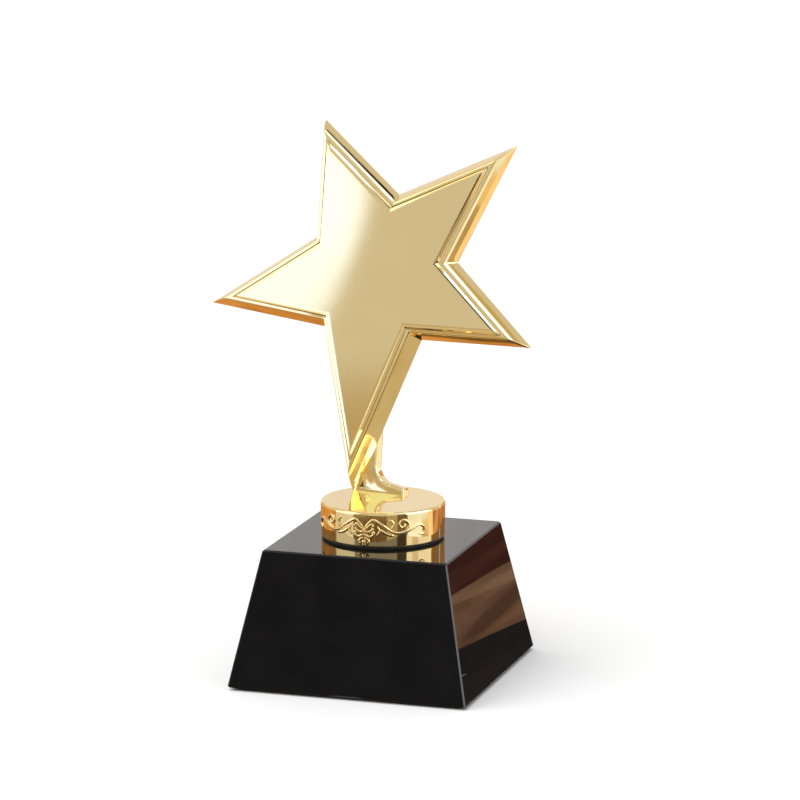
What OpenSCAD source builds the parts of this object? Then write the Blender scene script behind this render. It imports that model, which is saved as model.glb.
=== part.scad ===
// Star trophy: a gold star with a satin face stands on a round pedestal and a tapered black crystal base.
// The origin is the centre of the face that it rests on. +Z is up, and -Y is the front.

/* [Whole] */
// Height from the resting face to the highest tip of the star
total_height = 150; // [146:1:158]

/* [Crystal base] */
// Width of the square base at its bottom
base_w = 68; // [62:0.5:80]
// Width of the square base at its top
base_top_w = 52.5; // [46:0.5:58]
// Height of the crystal block
base_h = 37.5; // [32:0.5:42]
// Width of the polished chamfer on every edge of the block
base_chamfer = 0.4; // [0.2:0.1:1]
// Thickness of the rubber pad under the block
pad_t = 0.8; // [0.5:0.1:1.2]

/* [Pedestal drum] */
// Outer diameter of the drum
drum_d = 34.4; // [34:0.2:38]
// Height of the drum
drum_h = 9.9; // [9.4:0.1:11]
// Radius of the drum's top edge
drum_top_round = 0.8; // [0.4:0.1:1.2]
// Radius of the drum's bottom edge
drum_bottom_round = 0.7; // [0.4:0.1:1]
// Thickness of the drum's walls
drum_wall = 2; // [1.8:0.1:2.2]
// Thickness of the rubber ring under the drum
gasket_t = 0.4; // [0.3:0.1:1.2]

/* [Star] */
// Turn of the star about the vertical, seen from above
star_yaw = -8; // [-10:1:0]
// Backward lean of the star
star_lean = 7.5; // [5:0.5:9]
// Thickness of the star from its rim to its back
star_t = 4.6; // [4:0.1:5]
// How far the back of the star stands out beyond its front edge, square to a side, on average
star_flare = 1.7; // [1.4:0.1:1.9]
// Distance of the star's back from the pedestal's axis, where it meets the pedestal
star_back_y = 6.5; // [6:0.1:6.7]
// Width of the flat rim round the face plate
rim_w = 1.2; // [0.9:0.1:1.5]
// Height of the face plate above the rim
plate_rise = 0.9; // [0.5:0.1:1.2]

/* [Foot] */
// Thickness of the support foot
foot_t = 3.9; // [3.6:0.1:4.2]
// Length of the foot's toe to the right of its upright edge
toe_length = 8.8; // [6:0.2:10]

/* [Hidden] */
$fn = 64;
cut = 0.01;                                   // overrun that keeps a cut clear of a face
overrun = 1;                                  // the same for cuts that end in the open
thread_gap = 0.05;                            // radial gap that stands for a thread

// Heights of the stack, from the resting face upwards
base_top = pad_t + base_h;
drum_bottom = base_top + gasket_t;
drum_top = drum_bottom + drum_h;
drum_r = drum_d / 2;

// Star outline, as polar points round the star's centre: [distance, angle], clockwise from the upper arm.
// The arms are uneven, and the lower one is long because the star stands on it.
TIPS = [[42.5, 116.6], [47.9, 44.5], [44.2, -20.8], [57.4, -95.6], [49.2, -166.9]];
NOTCHES = [[20, 79.8], [20.3, 11.1], [19.3, -56.8], [21.6, -137.3], [20.8, 158.4]];
// How much more than the average the back stands out on each side, in the same order
FLARE_EXTRA = [-0.5, 0.2, 0.1, -0.1, 0.2, 0.8, -0.6, 0.5, -0.2, -0.1];
star_centre_x = -5.5;                         // the centre stands left of the pedestal's axis

// Layers of the star: its rim, and the face plate that is bonded into its recess and stands proud of it
rim_chamfer = 0.4;
adhesive_t = 0.2;
plate_seat = 0.3;                             // depth of the plate inside the recess
plate_gap = 0.1;
plate_bevel_w = 0.5;                          // run of the plate's bevelled edge, as seen from the front
recess_depth = plate_seat + adhesive_t;

// Foot, from the front in the star's frame: [across, up]
foot_head = [-9, 28];                         // centre of the upright's round head
foot_head_r = 4.2;
foot_heel_x = -11.5;
foot_waist_z = 9;                             // height below which the upright narrows towards the heel
toe_h = 2;
toe_fillet_r = 5;                             // hollow sweep between the upright and the toe
toe_fillet_lift = 0.6;                        // height of the sweep's lower end above the toe
foot_recess = [[-10.2, 0.7], [-5.2, 0.9], [-8, 5]];
foot_recess_depth = 0.4;

// Countersunk screws that hold the star on its foot
bracket_screw_r = 1.5;
bracket_head_r = 2.9;
bracket_head_h = 1.5;
bracket_socket_r = 1;
bracket_socket_depth = 1.1;
bracket_hole_depth = 2;
bracket_clearance = 0.1;
bracket_end_gap = 0.2;                        // gap between the screw's end and the bottom of its hole
bracket_head_sink = 0.1;                      // depth of the head below the foot's back
bracket_spots = [[-9.5, 18], [-9, 27]];       // on the centre line of the lower arm: [across, up]

// Cap screws that hold the foot on the pedestal
pedestal_screw_r = 1;
pedestal_head_r = 1.8;
pedestal_head_h = 1.3;
pedestal_socket_r = 0.8;
pedestal_socket_depth = 0.8;
pedestal_screw_grip = 4.5;                    // length of the screw inside the foot
pedestal_hole_depth = 5;
pedestal_clearance = 0.15;
pedestal_washer_t = 0.4;
pedestal_spots = [-8.8, -4.8];                // along the foot

// Central stud and the clamp that draws the pedestal down on the base
stud_r = 3;
stud_engagement = 6.5;
stud_end_gap = 0.5;
stud_below_nut = 0.6;
boss_r = 5.5;
base_bore_r = 3.5;
counterbore_r = 11;
counterbore_depth = 10;
clamp_washer_r = 9;
clamp_washer_t = 1.6;
clamp_clearance = 0.2;
lock_washer_r = 5.6;
lock_washer_t = 1.6;
lock_clearance = 0.1;
lock_split_w = 1;
lock_split_angle = 40;
nut_h = 5;
nut_across_flats = 10;

// Ring and pad
gasket_inset = 0.4;                           // how far the ring stays inside the drum's side
gasket_bore_r = 8;
pad_inset = 1.5;
pad_corner_r = 2;

// ---- Geometry functions ----

function polar(p) = [p[0] * cos(p[1]), p[0] * sin(p[1])];

STAR = [for (i = [0:len(TIPS) - 1]) each [polar(TIPS[i]), polar(NOTCHES[i])]];

// Unit normal that points out of a clockwise outline, for the side that starts at point i
function side_normal(i) =
    let (n = len(STAR), d = STAR[(i + 1) % n] - STAR[i % n])
    [-d[1], d[0]] / norm(d);

// The same growth on every side, and the growth from the front edge to the back
function even(w) = [for (i = [0:len(STAR) - 1]) w];
FLARE = [for (extra = FLARE_EXTRA) star_flare + extra];

// Corner i of the outline, with each side moved out by its own growth, square to itself
function moved_corner(i, growth) =
    let (n = len(STAR), a = side_normal(i + n - 1), b = side_normal(i), c = a * b,
        before = growth[(i + n - 1) % n], after = growth[i])
    STAR[i] + ((before - after * c) * a + (after - before * c) * b) / (1 - c * c);

// The outline with a growth for each side, at depth y, in the star's own upright frame
function star_ring(growth, y) =
    [for (i = [0:len(STAR) - 1])
        let (p = moved_corner(i, growth)) [p[0] + star_centre_x, y, p[1] + star_centre_z]];

// The back of the upper tip is the highest point of the trophy, and it sets the centre's height
star_centre_z = (total_height - drum_top) / cos(star_lean) - moved_corner(0, FLARE)[1];

// A square of half width h at height z whose corners are cut off by c
function cut_square(h, c, z) =
    [for (q = [[-1, -1], [1, -1], [1, 1], [-1, 1]])
        each q[0] * q[1] > 0
            ? [[q[0] * h, q[1] * (h - c), z], [q[0] * (h - c), q[1] * h, z]]
            : [[q[0] * (h - c), q[1] * h, z], [q[0] * h, q[1] * (h - c), z]]];

// ---- General shapes ----

// Mean of a ring's corners
function middle(ring) = [for (i = [0:len(ring) - 1]) 1] * ring / len(ring);

// Solid through a stack of rings that all have the same number of corners. Each end is closed by
// triangles from its middle, because the ends of a star aren't convex.
module loft(rings) {
    n = len(rings[0]);
    last = len(rings) - 1;
    first_middle = n * len(rings);
    last_middle = first_middle + 1;
    polyhedron(
        points = concat([for (ring = rings) each ring], [middle(rings[0]), middle(rings[last])]),
        faces = concat(
            [for (i = [0:n - 1]) [first_middle, i, (i + 1) % n]],
            [for (k = [0:last - 1], i = [0:n - 1])
                [k * n + i, (k + 1) * n + i, (k + 1) * n + (i + 1) % n, k * n + (i + 1) % n]],
            [for (i = [0:n - 1]) [last_middle, last * n + (i + 1) % n, last * n + i]]));
}

module tube(outer_r, inner_r, h) {
    difference() {
        cylinder(r = outer_r, h = h);
        translate([0, 0, -cut]) cylinder(r = inner_r, h = h + 2 * cut);
    }
}

// Places its children in the star's frame: X across, Z up the star, Y = 0 on its back and +Y behind it
module star_frame() {
    translate([0, star_back_y, drum_top])
        rotate([0, 0, star_yaw])
            rotate([-star_lean, 0, 0])
                children();
}

// Everything below the top of the pedestal
module below_pedestal_top() {
    size = 2 * total_height;
    translate([-size / 2, -size / 2, drum_top - size]) cube(size);
}

// Children once at each bracket screw, with the screw's axis along +Y from the star's back
module at_bracket_spots() {
    star_frame()
        for (spot = bracket_spots)
            translate([spot[0], 0, spot[1]]) rotate([-90, 0, 0]) children();
}

// Children once at each pedestal screw, upright, with z = 0 on top of the pedestal. The screws stand
// where the middle of the leaning foot is, half way up their holes.
module at_pedestal_spots() {
    translate([0, star_back_y, drum_top])
        rotate([0, 0, star_yaw])
            for (x = pedestal_spots)
                translate([x, foot_t / 2 + pedestal_hole_depth / 2 * sin(star_lean), 0]) children();
}

// ---- Star ----

module star_casting() {
    front = -star_t;
    color("gold") difference() {
        star_frame() loft([
            star_ring(even(-rim_w), front + recess_depth),
            star_ring(even(-rim_w), front),
            star_ring(even(-rim_chamfer), front),
            star_ring(even(0), front + rim_chamfer),
            star_ring(FLARE, 0)
        ]);
        below_pedestal_top();
        at_bracket_spots()
            translate([0, 0, -bracket_hole_depth])
                cylinder(r = bracket_screw_r, h = bracket_hole_depth + overrun);
    }
}

module face_plate() {
    edge = -rim_w - plate_gap;
    color("khaki") star_frame() loft([
        star_ring(even(edge - plate_bevel_w), -star_t - plate_rise),
        star_ring(even(edge), -star_t),
        star_ring(even(edge), plate_seat - star_t)
    ]);
}

module plate_adhesive() {
    edge = -rim_w - 3 * plate_gap;
    color("white") star_frame() loft([
        star_ring(even(edge), plate_seat - star_t),
        star_ring(even(edge), recess_depth - star_t)
    ]);
}

// ---- Support foot ----

// The foot's outline from the front: an upright with a round head, and a low toe to the right
module foot_outline() {
    edge_x = foot_head[0] + foot_head_r;
    toe_x = edge_x + toe_length;
    toe_r = toe_h / 2;
    sweep = [edge_x + toe_fillet_r, toe_h + toe_fillet_lift + toe_fillet_r];
    union() {
        translate(foot_head) circle(r = foot_head_r);
        polygon([
            [foot_heel_x, -overrun], [edge_x, -overrun], [edge_x, foot_head[1]],
            [foot_head[0] - foot_head_r, foot_head[1]], [foot_head[0] - foot_head_r, foot_waist_z]
        ]);
        difference() {
            polygon([
                [edge_x - overrun, -overrun], [toe_x - toe_r, -overrun], [toe_x - toe_r, toe_h],
                [sweep[0], sweep[1] - toe_fillet_r], [edge_x, sweep[1]],
                [edge_x - overrun, sweep[1]]
            ]);
            translate(sweep) circle(r = toe_fillet_r);
        }
        translate([toe_x - toe_r, toe_r]) circle(r = toe_r);
    }
}

module support_foot() {
    color("gold") difference() {
        star_frame()
            translate([0, foot_t, 0]) rotate([90, 0, 0]) linear_extrude(foot_t) foot_outline();
        below_pedestal_top();
        // shallow triangular recess low on the front face
        star_frame()
            translate([0, foot_recess_depth, 0])
                rotate([90, 0, 0]) linear_extrude(foot_recess_depth + overrun) polygon(foot_recess);
        at_bracket_spots() {
            cylinder(r = bracket_screw_r + bracket_clearance, h = foot_t + overrun);
            translate([0, 0, foot_t - bracket_head_h])
                cylinder(
                    r1 = bracket_screw_r + bracket_clearance,
                    r2 = bracket_head_r + bracket_clearance,
                    h = bracket_head_h + cut);
        }
        at_pedestal_spots()
            translate([0, 0, -overrun]) cylinder(r = pedestal_screw_r, h = pedestal_hole_depth + overrun);
    }
}

module bracket_screws() {
    head_top = foot_t - bracket_head_sink;
    end = bracket_end_gap - bracket_hole_depth;
    r = bracket_screw_r - thread_gap;
    color("silver") at_bracket_spots() difference() {
        union() {
            translate([0, 0, end]) cylinder(r = r, h = head_top - end);
            translate([0, 0, foot_t - bracket_head_h])
                cylinder(r1 = r, r2 = bracket_head_r - thread_gap, h = bracket_head_h - bracket_head_sink);
        }
        translate([0, 0, head_top - bracket_socket_depth])
            cylinder(r = bracket_socket_r, h = bracket_socket_depth + overrun, $fn = 6);
    }
}

// ---- Pedestal ----

// Half section of the drum's outside: a straight side, rounded above and below
module drum_section() {
    t = drum_top_round;
    b = drum_bottom_round;
    union() {
        square([drum_r - b, drum_h]);
        translate([0, b]) square([drum_r - t, drum_h - b]);
        translate([0, b]) square([drum_r, drum_h - b - t]);
        translate([drum_r - b, b]) circle(r = b);
        translate([drum_r - t, drum_h - t]) circle(r = t);
    }
}

module pedestal_drum() {
    color("goldenrod") difference() {
        translate([0, 0, drum_bottom]) rotate_extrude() drum_section();
        translate([0, 0, drum_bottom - cut])
            tube(drum_r - drum_wall, boss_r, drum_h - drum_wall + cut);
        translate([0, 0, drum_bottom - cut]) cylinder(r = stud_r, h = stud_engagement + cut);
        at_pedestal_spots()
            translate([0, 0, -drum_wall - overrun])
                cylinder(r = pedestal_screw_r + pedestal_clearance, h = drum_wall + 2 * overrun);
    }
}

module pedestal_screws() {
    head_top = -drum_wall - pedestal_washer_t;
    head_bottom = head_top - pedestal_head_h;
    color("silver") at_pedestal_spots() difference() {
        union() {
            translate([0, 0, head_top])
                cylinder(r = pedestal_screw_r - thread_gap, h = pedestal_screw_grip - head_top);
            translate([0, 0, head_bottom]) cylinder(r = pedestal_head_r, h = pedestal_head_h);
        }
        translate([0, 0, head_bottom - cut])
            cylinder(r = pedestal_socket_r, h = pedestal_socket_depth + cut, $fn = 6);
    }
}

module pedestal_washers() {
    color("gray") at_pedestal_spots()
        translate([0, 0, -drum_wall - pedestal_washer_t])
            tube(
                pedestal_head_r + pedestal_clearance,
                pedestal_screw_r + pedestal_clearance,
                pedestal_washer_t);
}

module gasket_ring() {
    color("black") translate([0, 0, base_top]) tube(drum_r - gasket_inset, gasket_bore_r, gasket_t);
}

// ---- Base and its clamp ----

module crystal_base() {
    c = base_chamfer;
    half = base_w / 2;
    top_half = base_top_w / 2;
    slope = (half - top_half) / base_h;
    color("#161616") difference() {
        loft([
            cut_square(half - c, c, pad_t),
            cut_square(half - slope * c, c, pad_t + c),
            cut_square(top_half + slope * c, c, base_top - c),
            cut_square(top_half - c, c, base_top)
        ]);
        translate([0, 0, pad_t - overrun]) cylinder(r = base_bore_r, h = base_h + 2 * overrun);
        translate([0, 0, pad_t - overrun]) cylinder(r = counterbore_r, h = counterbore_depth + overrun);
    }
}

// Heights of the clamp's pieces, from the counterbore's end downwards
washer_z = pad_t + counterbore_depth - clamp_washer_t;
lock_z = washer_z - lock_washer_t;
nut_z = lock_z - nut_h;

module stud() {
    bottom = nut_z - stud_below_nut;
    top = drum_bottom + stud_engagement - stud_end_gap;
    color("silver") translate([0, 0, bottom]) cylinder(r = stud_r - thread_gap, h = top - bottom);
}

module clamp_washer() {
    color("gray") translate([0, 0, washer_z])
        tube(clamp_washer_r, stud_r + clamp_clearance, clamp_washer_t);
}

// Spring washer, with the split that lets it flex
module lock_washer() {
    color("dimgray") translate([0, 0, lock_z]) difference() {
        tube(lock_washer_r, stud_r + lock_clearance, lock_washer_t);
        rotate([0, 0, lock_split_angle])
            translate([0, -lock_split_w / 2, -overrun])
                cube([lock_washer_r + overrun, lock_split_w, lock_washer_t + 2 * overrun]);
    }
}

module hex_nut() {
    corner_r = nut_across_flats / 2 / cos(30);
    color("silver") translate([0, 0, nut_z]) difference() {
        cylinder(r = corner_r, h = nut_h, $fn = 6);
        translate([0, 0, -overrun]) cylinder(r = stud_r, h = nut_h + 2 * overrun);
    }
}

module base_pad() {
    half = base_w / 2 - pad_inset;
    inner = half - pad_corner_r;
    color("dimgray") linear_extrude(pad_t) union() {
        square([2 * half, 2 * inner], center = true);
        square([2 * inner, 2 * half], center = true);
        for (x = [-inner, inner], y = [-inner, inner])
            translate([x, y]) circle(r = pad_corner_r);
    }
}

star_casting();
face_plate();
plate_adhesive();
support_foot();
bracket_screws();
pedestal_drum();
pedestal_screws();
pedestal_washers();
gasket_ring();
stud();
crystal_base();
clamp_washer();
lock_washer();
hex_nut();
base_pad();
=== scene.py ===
import math

import bmesh
import bpy
from mathutils import Matrix, Vector


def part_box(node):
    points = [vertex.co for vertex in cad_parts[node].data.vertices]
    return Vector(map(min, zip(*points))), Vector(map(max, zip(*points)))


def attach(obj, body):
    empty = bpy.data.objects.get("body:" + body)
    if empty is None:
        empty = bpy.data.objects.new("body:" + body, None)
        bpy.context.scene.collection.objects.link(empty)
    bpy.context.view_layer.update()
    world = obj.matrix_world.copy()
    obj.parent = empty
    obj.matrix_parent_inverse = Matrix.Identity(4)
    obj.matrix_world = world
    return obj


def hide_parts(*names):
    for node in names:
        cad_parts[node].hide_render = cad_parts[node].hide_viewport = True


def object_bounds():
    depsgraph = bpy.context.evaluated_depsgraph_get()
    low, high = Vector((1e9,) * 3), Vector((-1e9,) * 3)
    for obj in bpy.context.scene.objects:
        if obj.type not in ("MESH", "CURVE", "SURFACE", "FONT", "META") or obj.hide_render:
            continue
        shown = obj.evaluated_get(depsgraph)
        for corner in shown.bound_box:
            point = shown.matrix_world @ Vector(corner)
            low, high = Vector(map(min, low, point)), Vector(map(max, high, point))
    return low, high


# Looks of the star trophy. Lengths in the design values are millimetres, like the CAD source;
# mm() turns them into the frame's metres.
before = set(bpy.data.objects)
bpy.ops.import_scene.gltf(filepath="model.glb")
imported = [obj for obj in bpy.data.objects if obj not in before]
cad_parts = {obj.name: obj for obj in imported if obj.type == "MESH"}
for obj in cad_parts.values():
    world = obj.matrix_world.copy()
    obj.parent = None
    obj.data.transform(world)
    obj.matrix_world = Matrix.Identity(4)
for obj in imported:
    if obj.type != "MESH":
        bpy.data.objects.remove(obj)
cad_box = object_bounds()


def mm(value):
    return value * 0.001


def in_mm(metres):
    return metres / mm(1)


# ---- Heights and widths, read from the frame ----

drum_low, drum_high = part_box("pedestal_drum")
gasket_low, gasket_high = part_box("gasket_ring")
pad_low, pad_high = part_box("base_pad")
DRUM_TOP = in_mm(drum_high.z)
DRUM_BOTTOM = in_mm(drum_low.z)
DRUM_H = DRUM_TOP - DRUM_BOTTOM
DRUM_R = in_mm(drum_high.x - drum_low.x) / 2
GASKET_BOTTOM = in_mm(gasket_low.z)
GASKET_H = in_mm(gasket_high.z) - GASKET_BOTTOM
GASKET_R = in_mm(gasket_high.x - gasket_low.x) / 2
PAD_H = in_mm(pad_high.z)
PAD_HALF_W = in_mm(pad_high.x - pad_low.x) / 2
TOTAL_HEIGHT = in_mm(cad_box[1][2])

# ---- Design values, the same as the CAD source ----

# Star: how it stands, its thickness, and how far its back flares out
STAR_YAW = -8
STAR_LEAN = 7.5
STAR_T = 4.6
STAR_FLARE = 1.7
STAR_BACK_Y = 6.5
STAR_CENTRE_X = -5.5
# The star's corners round its centre: (distance, angle), clockwise from the upper arm
TIPS = [(42.5, 116.6), (47.9, 44.5), (44.2, -20.8), (57.4, -95.6), (49.2, -166.9)]
NOTCHES = [(20, 79.8), (20.3, 11.1), (19.3, -56.8), (21.6, -137.3), (20.8, 158.4)]
# How much more than the average the back stands out on each side, in the same order
FLARE_EXTRA = [-0.5, 0.2, 0.1, -0.1, 0.2, 0.8, -0.6, 0.5, -0.2, -0.1]

# Rim, and the face plate that is bonded into its recess and stands proud of it
RIM_W = 1.2
RIM_CHAMFER = 0.4
PLATE_RISE = 0.9
PLATE_SEAT = 0.3
PLATE_GAP = 0.1
PLATE_BEVEL_W = 0.5
ADHESIVE_T = 0.2

# Foot, from the front in the star's frame: (across, up)
FOOT_T = 3.9
FOOT_HEAD = Vector((-9, 28))
FOOT_HEAD_R = 4.2
FOOT_HEEL_X = -11.5
FOOT_WAIST_Z = 9
TOE_LENGTH = 8.8
TOE_H = 2
TOE_FILLET_R = 5
TOE_FILLET_LIFT = 0.6
FOOT_RECESS = [(-10.2, 0.7), (-5.2, 0.9), (-8, 5)]
FOOT_RECESS_DEPTH = 0.4

# Countersunk screws through the foot
BRACKET_SPOTS = [(-9.5, 18), (-9, 27)]
BRACKET_SCREW_R = 1.5
BRACKET_HEAD_R = 2.9
BRACKET_HEAD_H = 1.5
BRACKET_CLEARANCE = 0.1

# Drum, with the boss and bore for its stud, and the ring and pad
DRUM_TOP_ROUND = 0.8
DRUM_BOTTOM_ROUND = 0.7
DRUM_WALL = 2
STUD_R = 3
STUD_ENGAGEMENT = 6.5
BOSS_R = 5.5
GASKET_BORE_R = 8
PAD_CORNER_R = 2

# ---- Small tools ----

MERGE_DISTANCE = 0.002       # points closer than this become one


def polar(distance, degrees):
    """A point in a plane, at a distance and an angle from its origin."""
    angle = math.radians(degrees)
    return Vector((distance * math.cos(angle), distance * math.sin(angle)))


def arc(centre, radius, start, end, steps):
    """Points along an arc, with both of its ends."""
    turn = end - start
    return [Vector(centre) + polar(radius, start + turn * k / steps) for k in range(steps + 1)]


def smooth_line(points, steps):
    """A smooth open line through the points, as a Catmull-Rom spline."""
    ends = [2 * points[0] - points[1]] + points + [2 * points[-1] - points[-2]]
    line = []
    for i in range(1, len(ends) - 2):
        a, b, c, d = ends[i - 1:i + 3]
        for k in range(steps):
            t = k / steps
            line.append(0.5 * (
                2 * b + (c - a) * t + (2 * a - 5 * b + 4 * c - d) * t ** 2
                + (3 * b - a - 3 * c + d) * t ** 3))
    return line + [points[-1]]


def finish_piece(name, mesh_data, material, replaces=(), crease=35):
    """Turns a bmesh into a shaded piece that rides on the trophy's one body."""
    bmesh.ops.remove_doubles(mesh_data, verts=mesh_data.verts, dist=mm(MERGE_DISTANCE))
    bmesh.ops.recalc_face_normals(mesh_data, faces=mesh_data.faces)
    mesh = bpy.data.meshes.new(name)
    mesh_data.to_mesh(mesh)
    mesh_data.free()
    mesh.polygons.foreach_set("use_smooth", [True] * len(mesh.polygons))
    mesh.set_sharp_from_angle(angle=math.radians(crease))
    mesh.materials.append(material)
    piece = bpy.data.objects.new(name, mesh)
    bpy.context.scene.collection.objects.link(piece)
    weighted = piece.modifiers.new("flat faces", "WEIGHTED_NORMAL")
    weighted.keep_sharp = True
    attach(piece, "root")
    if replaces:
        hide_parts(*replaces)


def skin(mesh_data, rings, fan_ends=True):
    """Faces between successive closed rings of the same length, and across the two end rings."""
    rows = [[mesh_data.verts.new(point) for point in ring] for ring in rings]
    count = len(rows[0])
    for low, high in zip(rows, rows[1:]):
        for i in range(count):
            j = (i + 1) % count
            mesh_data.faces.new((low[i], low[j], high[j], high[i]))
    for row in (rows[0], rows[-1]):
        if fan_ends:
            middle = mesh_data.verts.new(sum((v.co for v in row), Vector()) / count)
            for i in range(count):
                mesh_data.faces.new((row[i], row[(i + 1) % count], middle))
        else:
            mesh_data.faces.new(row)


def carved(mesh_data, cutter_data):
    """A solid with another solid taken out of it. Both are used up."""
    solids = []
    for data in (mesh_data, cutter_data):
        bmesh.ops.recalc_face_normals(data, faces=data.faces)
        mesh = bpy.data.meshes.new("carving")
        data.to_mesh(mesh)
        data.free()
        solids.append(bpy.data.objects.new("carving", mesh))
        bpy.context.scene.collection.objects.link(solids[-1])
    carving = solids[0].modifiers.new("carving", "BOOLEAN")
    carving.operation = "DIFFERENCE"
    carving.solver = "EXACT"
    carving.object = solids[1]
    result = bmesh.new()
    result.from_object(solids[0], bpy.context.evaluated_depsgraph_get())
    for solid in solids:
        bpy.data.meshes.remove(solid.data)
    return result


def cut_below(mesh_data, height):
    """Cuts away what is below a height and closes the cut."""
    everything = mesh_data.verts[:] + mesh_data.edges[:] + mesh_data.faces[:]
    result = bmesh.ops.bisect_plane(
        mesh_data, geom=everything, plane_co=(0, 0, height), plane_no=(0, 0, 1), clear_inner=True)
    edges = [item for item in result["geom_cut"] if isinstance(item, bmesh.types.BMEdge)]
    bmesh.ops.triangle_fill(mesh_data, edges=edges, use_beauty=True)


def lathe(profile, steps, height):
    """A solid of revolution about Z, from a height up.

    The profile is a closed outline of (radius, z) points. A point on the axis becomes one vertex.
    """
    mesh_data = bmesh.new()
    rows = []
    for radius, z in profile:
        count = steps if radius > 0 else 1
        row = []
        for k in range(count):
            angle = math.tau * k / steps
            place = (mm(radius * math.cos(angle)), mm(radius * math.sin(angle)), mm(z + height))
            row.append(mesh_data.verts.new(place))
        rows.append(row)
    for low, high in zip(rows, rows[1:] + rows[:1]):
        if len(low) == len(high) == 1:
            continue
        for i in range(steps):
            j = (i + 1) % steps
            corners = []
            for row, k in ((low, i), (low, j), (high, j), (high, i)):
                vert = row[k % len(row)]
                if vert not in corners:
                    corners.append(vert)
            mesh_data.faces.new(corners)
    return mesh_data


# ---- Materials ----

NOISE_USUAL = (0.3, 0.7)      # the range that a noise mostly keeps to


def new_material(name):
    """A material with its Principled shader, and a function that adds nodes to it."""
    material = bpy.data.materials.new(name)
    material.use_nodes = True
    nodes = material.node_tree.nodes
    shader = nodes["Principled BSDF"]

    def add(kind, inputs=None, **settings):
        node = nodes.new(kind)
        for key, value in settings.items():
            setattr(node, key, value)
        for key, value in (inputs or {}).items():
            if isinstance(value, bpy.types.NodeSocket):
                material.node_tree.links.new(value, node.inputs[key])
            else:
                node.inputs[key].default_value = value
        return node

    def link(socket, name_of_input):
        material.node_tree.links.new(socket, shader.inputs[name_of_input])

    return material, shader, add, link


def noise_of(add, scale, detail, stretch=(1, 1, 1)):
    """Noise over the object's own coordinates, with features about 1/scale metres long."""
    place = add("ShaderNodeTexCoord")
    mapped = add("ShaderNodeMapping", {"Vector": place.outputs["Object"], "Scale": stretch})
    inputs = {"Vector": mapped.outputs[0], "Scale": scale, "Detail": detail}
    return add("ShaderNodeTexNoise", inputs)


def spread_of(add, socket, low, high):
    """Spreads a noise, which stays near its middle, over the range from low to high."""
    spread = add("ShaderNodeMapRange", {
        "Value": socket, "From Min": NOISE_USUAL[0], "From Max": NOISE_USUAL[1],
        "To Min": low, "To Max": high})
    return spread.outputs[0]


def tint_of(add, socket, low, high):
    """A colour that wanders between two others with a noise."""
    mix = add("ShaderNodeMix", {"Factor": spread_of(add, socket, 0, 1)}, data_type="RGBA")
    mix.inputs["A"].default_value = (*low, 1)
    mix.inputs["B"].default_value = (*high, 1)
    return mix.outputs["Result"]


def bumps_of(add, layers):
    """Stacked bumps: each layer is (noise socket, height in metres)."""
    normal = None
    for socket, height in layers:
        inputs = {"Height": socket, "Strength": 1.0, "Distance": height}
        if normal:
            inputs["Normal"] = normal
        normal = add("ShaderNodeBump", inputs).outputs["Normal"]
    return normal


def polished_gold():
    """Mirror-polished gold plating: faint clouds and smudges, and a slightly wavy surface."""
    material, shader, add, link = new_material("polished_gold")
    shader.inputs["Metallic"].default_value = 1
    cloud = noise_of(add, scale=60, detail=3)
    smudge = noise_of(add, scale=180, detail=5)
    wave = noise_of(add, scale=130, detail=1)
    grain = noise_of(add, scale=9000, detail=2)
    tint = tint_of(add, cloud.outputs[0], (0.97, 0.73, 0.33), (0.99, 0.77, 0.38))
    link(tint, "Base Color")
    link(spread_of(add, smudge.outputs[0], 0.035, 0.085), "Roughness")
    link(bumps_of(add, [(wave.outputs[0], mm(0.025)), (grain.outputs[0], mm(0.0006))]), "Normal")
    return material


def satin_gold():
    """The face plate's finely brushed gold: a softer mirror with upright streaks."""
    material, shader, add, link = new_material("satin_gold")
    shader.inputs["Metallic"].default_value = 1
    cloud = noise_of(add, scale=40, detail=3)
    streak = noise_of(add, scale=700, detail=3, stretch=(6, 6, 0.25))
    grain = noise_of(add, scale=12000, detail=2)
    tint = tint_of(add, cloud.outputs[0], (0.95, 0.735, 0.365), (0.97, 0.76, 0.39))
    link(tint, "Base Color")
    link(spread_of(add, streak.outputs[0], 0.035, 0.065), "Roughness")
    link(bumps_of(add, [(streak.outputs[0], mm(0.0012)), (grain.outputs[0], mm(0.0012))]), "Normal")
    return material


def black_crystal():
    """Polished black glass with faint smudges."""
    material, shader, add, link = new_material("black_crystal")
    shader.inputs["IOR"].default_value = 1.54
    smudge = noise_of(add, scale=90, detail=4)
    tint = tint_of(add, smudge.outputs[0], (0.0035, 0.0035, 0.0038), (0.006, 0.0058, 0.006))
    link(tint, "Base Color")
    link(spread_of(add, smudge.outputs[0], 0.012, 0.035), "Roughness")
    shader.inputs["Specular Tint"].default_value = (1, 0.95, 1, 1)
    return material


def black_rubber():
    """Matt rubber with a fine grain."""
    material, shader, add, link = new_material("black_rubber")
    speckle = noise_of(add, scale=2500, detail=4)
    cloud = noise_of(add, scale=150, detail=3)
    tint = tint_of(add, cloud.outputs[0], (0.012, 0.012, 0.012), (0.024, 0.023, 0.023))
    link(tint, "Base Color")
    link(spread_of(add, speckle.outputs[0], 0.55, 0.8), "Roughness")
    link(bumps_of(add, [(speckle.outputs[0], mm(0.04))]), "Normal")
    return material


def plated_metal(name, dark, light):
    """Plain machine-finished metal with fine scratches."""
    material, shader, add, link = new_material(name)
    shader.inputs["Metallic"].default_value = 1
    cloud = noise_of(add, scale=500, detail=4)
    scratch = noise_of(add, scale=3000, detail=3, stretch=(1, 1, 8))
    link(tint_of(add, cloud.outputs[0], dark, light), "Base Color")
    link(spread_of(add, cloud.outputs[0], 0.22, 0.4), "Roughness")
    link(bumps_of(add, [(scratch.outputs[0], mm(0.004))]), "Normal")
    return material


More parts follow.
